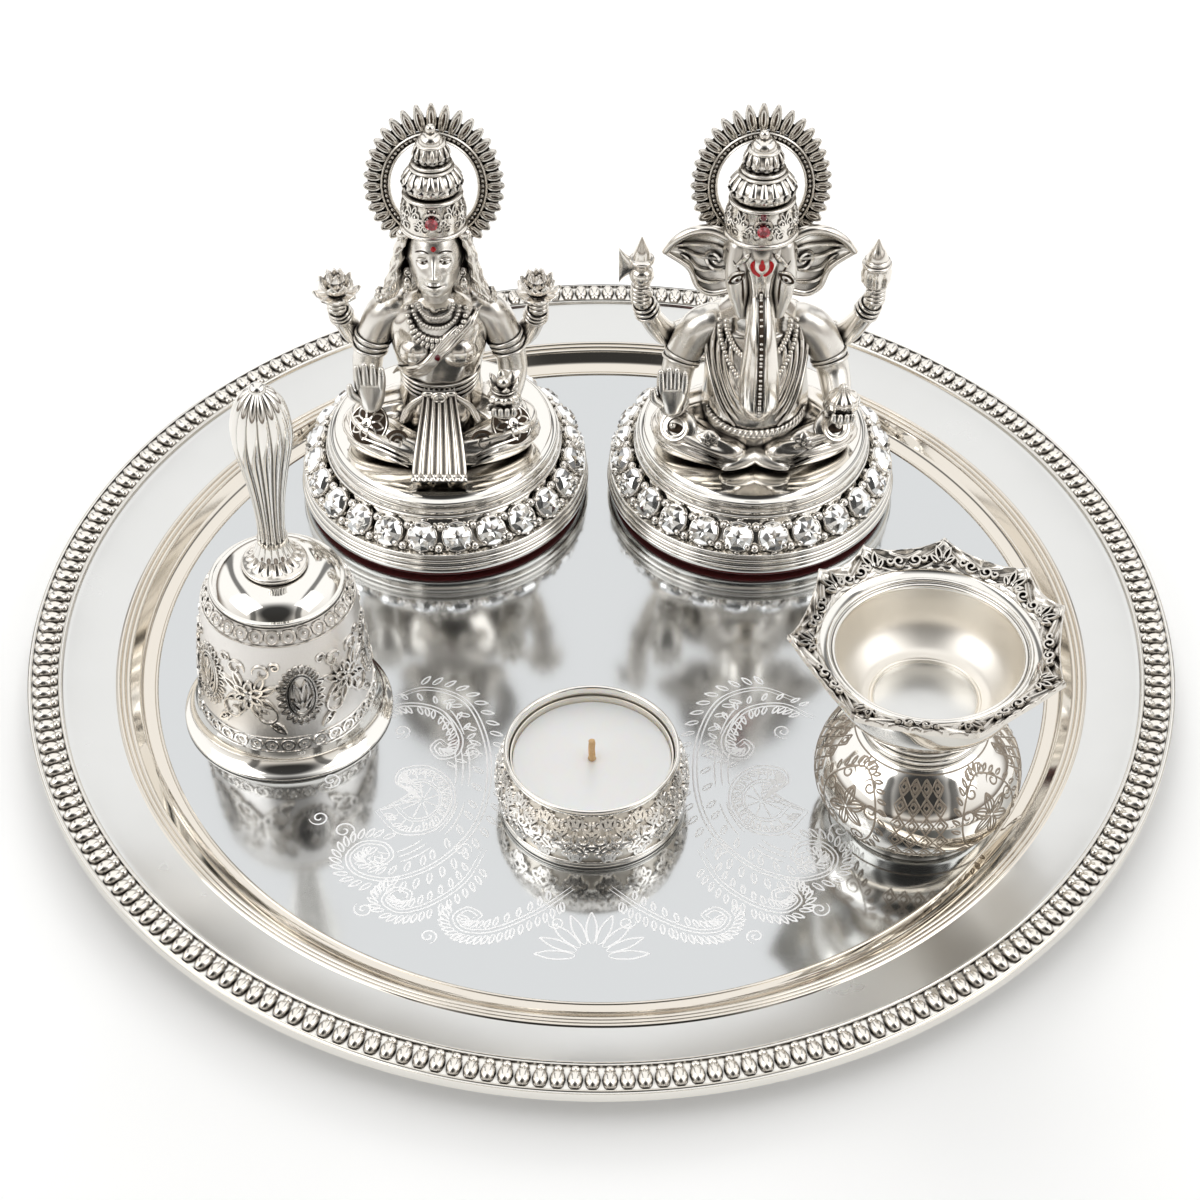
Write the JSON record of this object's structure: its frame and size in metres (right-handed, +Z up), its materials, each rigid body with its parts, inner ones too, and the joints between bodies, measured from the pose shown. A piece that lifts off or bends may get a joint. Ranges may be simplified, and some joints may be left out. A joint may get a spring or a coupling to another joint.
{
  "type": "puja thali",
  "caption": "Round silver-plated offering salver with seated Lakshmi and Ganesha figures on stone-set plinths, a hand bell, a tealight in its holder and an offering bowl.",
  "frame": {"origin": "middle of the salver's underside, on the surface that it stands on", "axes": "+Z up, +Y towards the two figures at the back, +X to the right as they are seen from the front"},
  "size_m": [0.28, 0.28, 0.1144],
  "materials": {
    "bright_silver_plate": "polished",
    "oxidised_silver_plate": "gloss",
    "red_felt": "matte",
    "crystal": "polished",
    "ruby": "polished",
    "paraffin_wax": "satin",
    "cotton_wick": "matte",
    "aluminium_cup": "satin",
    "steel": "satin"
  },
  "bodies": {
    "tray": {"tray_dish": "bright_silver_plate", "tray_border": "oxidised_silver_plate"},
    "lakshmi_idol": {"lakshmi_felt": "red_felt", "lakshmi_plinth": "bright_silver_plate", "lakshmi_crystals": "crystal", "lakshmi_screw": "steel", "lakshmi_body": "oxidised_silver_plate", "lakshmi_head": "oxidised_silver_plate", "lakshmi_crown": "oxidised_silver_plate", "lakshmi_halo": "oxidised_silver_plate", "lakshmi_right_arm": "oxidised_silver_plate", "lakshmi_left_arm": "oxidised_silver_plate", "lakshmi_crown_ruby": "ruby", "lakshmi_pot": "oxidised_silver_plate", "lakshmi_right_lotus": "oxidised_silver_plate", "lakshmi_left_lotus": "oxidised_silver_plate", "lakshmi_pendant_ruby": "ruby"},
    "ganesh_idol": {"ganesh_felt": "red_felt", "ganesh_plinth": "bright_silver_plate", "ganesh_crystals": "crystal", "ganesh_screw": "steel", "ganesh_body": "oxidised_silver_plate", "ganesh_head": "oxidised_silver_plate", "ganesh_crown": "oxidised_silver_plate", "ganesh_halo": "oxidised_silver_plate", "ganesh_right_arm": "oxidised_silver_plate", "ganesh_left_arm": "oxidised_silver_plate", "ganesh_crown_ruby": "ruby", "ganesh_modak": "oxidised_silver_plate", "ganesh_axe": "oxidised_silver_plate", "ganesh_mace": "oxidised_silver_plate"},
    "bell": {"bell_cup": "oxidised_silver_plate", "bell_collar": "oxidised_silver_plate", "bell_handle": "bright_silver_plate", "bell_stud": "steel", "bell_nut": "steel"},
    "clapper": {"clapper_rod": "steel", "clapper_ball": "steel"},
    "candle_holder": {"holder_base": "bright_silver_plate", "holder_wall": "oxidised_silver_plate", "holder_rim": "bright_silver_plate"},
    "tealight": {"tealight_cup": "aluminium_cup", "tealight_wax": "paraffin_wax", "tealight_wick": "cotton_wick", "tealight_sustainer": "steel"},
    "bowl": {"bowl_belly": "oxidised_silver_plate", "bowl_neck": "bright_silver_plate", "bowl_cup": "bright_silver_plate", "bowl_rim": "oxidised_silver_plate"}
  },
  "joints": [
    {"name": "lakshmi_idol_lift", "type": "slide", "parent": "tray", "child": "lakshmi_idol", "axis": [0, 0, 1], "range_m": [0, 0.12]},
    {"name": "ganesh_idol_lift", "type": "slide", "parent": "tray", "child": "ganesh_idol", "axis": [0, 0, 1], "range_m": [0, 0.12]},
    {"name": "bell_lift", "type": "slide", "parent": "tray", "child": "bell", "axis": [0, 0, 1], "range_m": [0, 0.12]},
    {"name": "clapper_swing", "type": "hinge", "parent": "bell", "child": "clapper", "pos_m": [-0.07591, -0.01752, 0.0388], "axis": [1, 0, 0], "range_deg": [-30, 30]},
    {"name": "candle_holder_lift", "type": "slide", "parent": "tray", "child": "candle_holder", "axis": [0, 0, 1], "range_m": [0, 0.08]},
    {"name": "tealight_lift", "type": "slide", "parent": "candle_holder", "child": "tealight", "axis": [0, 0, 1], "range_m": [0, 0.04]},
    {"name": "bowl_lift", "type": "slide", "parent": "tray", "child": "bowl", "axis": [0, 0, 1], "range_m": [0, 0.1]}
  ]
}
